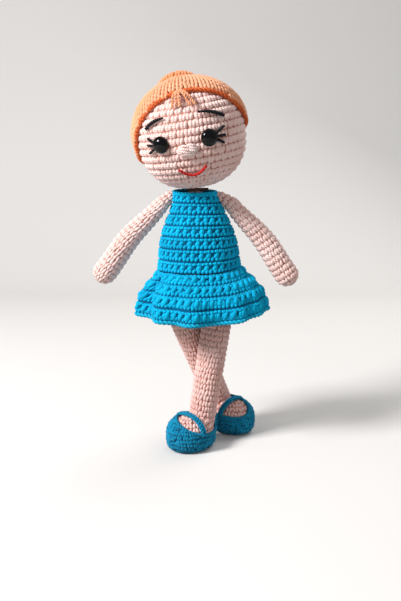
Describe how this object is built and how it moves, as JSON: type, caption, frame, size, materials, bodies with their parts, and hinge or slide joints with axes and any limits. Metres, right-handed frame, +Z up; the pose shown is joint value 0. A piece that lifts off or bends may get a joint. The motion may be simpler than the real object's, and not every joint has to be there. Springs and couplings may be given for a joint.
{
  "type": "crocheted doll",
  "caption": "Crocheted stuffed doll with ginger hair in a bun, a turquoise dress and strap shoes, standing with its legs crossed; head, arms and legs turn.",
  "frame": {"origin": "middle of the part's box in plan, at the soles", "axes": "+Z up from the soles to the crown, the doll faces -Y, its own left side is +X"},
  "size_m": [0.1118, 0.068, 0.2043],
  "materials": {
    "skin_yarn": "matte crocheted cotton yarn, pale skin colour",
    "stuffing": "loose polyester fibre filling",
    "dress_yarn": "matte crocheted cotton yarn, turquoise",
    "hem_yarn": "matte turquoise yarn, one round of slip stitches",
    "shoe_yarn": "matte crocheted cotton yarn, deep turquoise",
    "hair_yarn": "matte crocheted cotton yarn, ginger",
    "eye_plastic": "polished black",
    "washer_plastic": "moulded, hidden inside the head",
    "black_thread": "embroidery yarn",
    "red_thread": "embroidery yarn",
    "nose_thread": "satin stitches of pale embroidery yarn",
    "sewing_thread": "stitched joins in the skin colour"
  },
  "bodies": {
    "torso": {"torso": "skin_yarn", "torso_stuffing": "stuffing", "dress_bodice": "dress_yarn", "dress_skirt": "dress_yarn", "dress_hem_edging": "hem_yarn"},
    "neck": {"neck_seam": "sewing_thread"},
    "head": {"head": "skin_yarn", "head_stuffing": "stuffing", "left_eye": "eye_plastic", "left_eye_washer": "washer_plastic", "left_eyebrow": "black_thread", "right_eye": "eye_plastic", "right_eye_washer": "washer_plastic", "right_eyebrow": "black_thread", "left_lash_1": "black_thread", "left_lash_2": "black_thread", "left_lash_3": "black_thread", "right_lash_1": "black_thread", "right_lash_2": "black_thread", "right_lash_3": "black_thread", "nose_stitch": "nose_thread", "mouth_thread": "red_thread", "hair_cap": "hair_yarn", "hair_edging": "hair_yarn", "hair_bun": "hair_yarn", "bun_stuffing": "stuffing", "fringe_strand_1": "hair_yarn", "fringe_strand_2": "hair_yarn", "fringe_strand_3": "hair_yarn", "fringe_strand_4": "hair_yarn", "fringe_strand_5": "hair_yarn"},
    "left_shoulder": {"left_shoulder_seam": "sewing_thread"},
    "left_arm": {"left_arm": "skin_yarn", "left_arm_stuffing": "stuffing"},
    "right_shoulder": {"right_shoulder_seam": "sewing_thread"},
    "right_arm": {"right_arm": "skin_yarn", "right_arm_stuffing": "stuffing"},
    "left_leg": {"left_leg": "skin_yarn", "left_leg_stuffing": "stuffing", "left_shoe": "shoe_yarn", "left_shoe_strap": "shoe_yarn"},
    "right_leg": {"right_leg": "skin_yarn", "right_leg_stuffing": "stuffing", "right_shoe": "shoe_yarn", "right_shoe_strap": "shoe_yarn"}
  },
  "joints": [
    {"name": "head_turn", "type": "hinge", "parent": "torso", "child": "neck", "pos_m": [0.00083, 0.00065, 0.1424], "axis": [0, 0, 1], "range_deg": [-35, 35]},
    {"name": "head_tilt", "type": "hinge", "parent": "neck", "child": "head", "pos_m": [0.00083, 0.00065, 0.1424], "axis": [0, 1, 0], "range_deg": [-4, 15]},
    {"name": "left_arm_swing", "type": "hinge", "parent": "torso", "child": "left_shoulder", "pos_m": [0.02175, 0.00065, 0.1325], "axis": [-1, 0, 0], "range_deg": [-60, 110]},
    {"name": "left_arm_raise", "type": "hinge", "parent": "left_shoulder", "child": "left_arm", "pos_m": [0.02175, 0.00065, 0.1325], "axis": [0, -1, 0], "range_deg": [-12, 68]},
    {"name": "right_arm_swing", "type": "hinge", "parent": "torso", "child": "right_shoulder", "pos_m": [-0.02009, 0.00065, 0.1325], "axis": [-1, 0, 0], "range_deg": [-60, 110]},
    {"name": "right_arm_raise", "type": "hinge", "parent": "right_shoulder", "child": "right_arm", "pos_m": [-0.02009, 0.00065, 0.1325], "axis": [0, 1, 0], "range_deg": [-12, 68]},
    {"name": "left_leg_swing", "type": "hinge", "parent": "torso", "child": "left_leg", "pos_m": [0.01433, 0.00365, 0.0866], "axis": [-1, 0, 0], "range_deg": [-12, 85], "deforming": ["dress_skirt", "dress_hem_edging"]},
    {"name": "right_leg_swing", "type": "hinge", "parent": "torso", "child": "right_leg", "pos_m": [-0.01367, 0.00365, 0.0866], "axis": [-1, 0, 0], "range_deg": [-12, 85]}
  ],
  "couplings": [
    {"joint": "right_leg_swing", "follows": "left_leg_swing", "ratio": 1}
  ]
}
